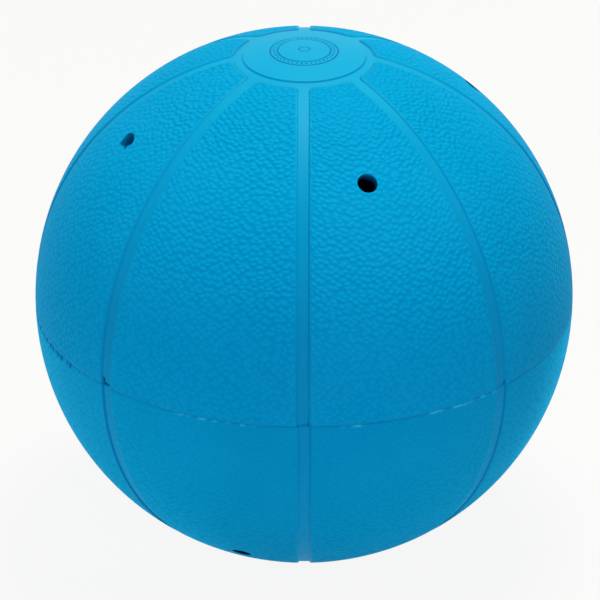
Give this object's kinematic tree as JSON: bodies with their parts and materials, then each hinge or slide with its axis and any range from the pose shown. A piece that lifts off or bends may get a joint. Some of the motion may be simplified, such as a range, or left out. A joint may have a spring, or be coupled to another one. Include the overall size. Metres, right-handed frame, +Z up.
{
  "type": "goalball",
  "caption": "Hollow blue rubber ball with moulded panel grooves, a domed crown disc, small sound holes and loose jingle bells inside, so that players hear it roll.",
  "frame": {"origin": "centre of the ball", "axes": "+Z up through the crown of the upper half, -Y towards the groove that faces the picture's camera, seam in the XY plane"},
  "size_m": [0.2416, 0.2416, 0.242],
  "materials": {
    "shell_rubber": "pebbled satin",
    "bell_plate": "nickel plated",
    "hanger_wire": "drawn",
    "pellet_steel": "polished"
  },
  "bodies": {
    "ball": {"upper_shell": "shell_rubber", "lower_shell": "shell_rubber"},
    "bell_1": {"bell_1_loop_cup": "bell_plate", "bell_1_slotted_cup": "bell_plate", "bell_1_hanger_loop": "hanger_wire"},
    "bell_2": {"bell_2_loop_cup": "bell_plate", "bell_2_slotted_cup": "bell_plate", "bell_2_hanger_loop": "hanger_wire"},
    "bell_3": {"bell_3_loop_cup": "bell_plate", "bell_3_slotted_cup": "bell_plate", "bell_3_hanger_loop": "hanger_wire"},
    "bell_4": {"bell_4_loop_cup": "bell_plate", "bell_4_slotted_cup": "bell_plate", "bell_4_hanger_loop": "hanger_wire"},
    "pellet_1": {"bell_1_pellet": "pellet_steel"},
    "pellet_2": {"bell_2_pellet": "pellet_steel"},
    "pellet_3": {"bell_3_pellet": "pellet_steel"},
    "pellet_4": {"bell_4_pellet": "pellet_steel"}
  },
  "joints": [
    {"name": "bell_1_swing", "type": "hinge", "parent": "ball", "child": "bell_1", "pos_m": [0, 0, 0], "axis": [0, -1, 0], "range_deg": [0, 152.7]},
    {"name": "bell_2_swing", "type": "hinge", "parent": "ball", "child": "bell_2", "pos_m": [0, 0, 0], "axis": [1, 0, 0], "range_deg": [0, 152.7]},
    {"name": "bell_3_swing", "type": "hinge", "parent": "ball", "child": "bell_3", "pos_m": [0, 0, 0], "axis": [0, 1, 0], "range_deg": [0, 152.7]},
    {"name": "bell_4_swing", "type": "hinge", "parent": "ball", "child": "bell_4", "pos_m": [0, 0, 0], "axis": [-1, 0, 0], "range_deg": [0, 152.7]},
    {"name": "pellet_1_roll", "type": "hinge", "parent": "bell_1", "child": "pellet_1", "pos_m": [0.02284, 0, -0.09407], "axis": [0, 1, 0], "continuous": true},
    {"name": "pellet_2_roll", "type": "hinge", "parent": "bell_2", "child": "pellet_2", "pos_m": [0, 0.02284, -0.09407], "axis": [-1, 0, 0], "continuous": true},
    {"name": "pellet_3_roll", "type": "hinge", "parent": "bell_3", "child": "pellet_3", "pos_m": [-0.02284, 0, -0.09407], "axis": [0, -1, 0], "continuous": true},
    {"name": "pellet_4_roll", "type": "hinge", "parent": "bell_4", "child": "pellet_4", "pos_m": [0, -0.02284, -0.09407], "axis": [1, 0, 0], "continuous": true}
  ]
}
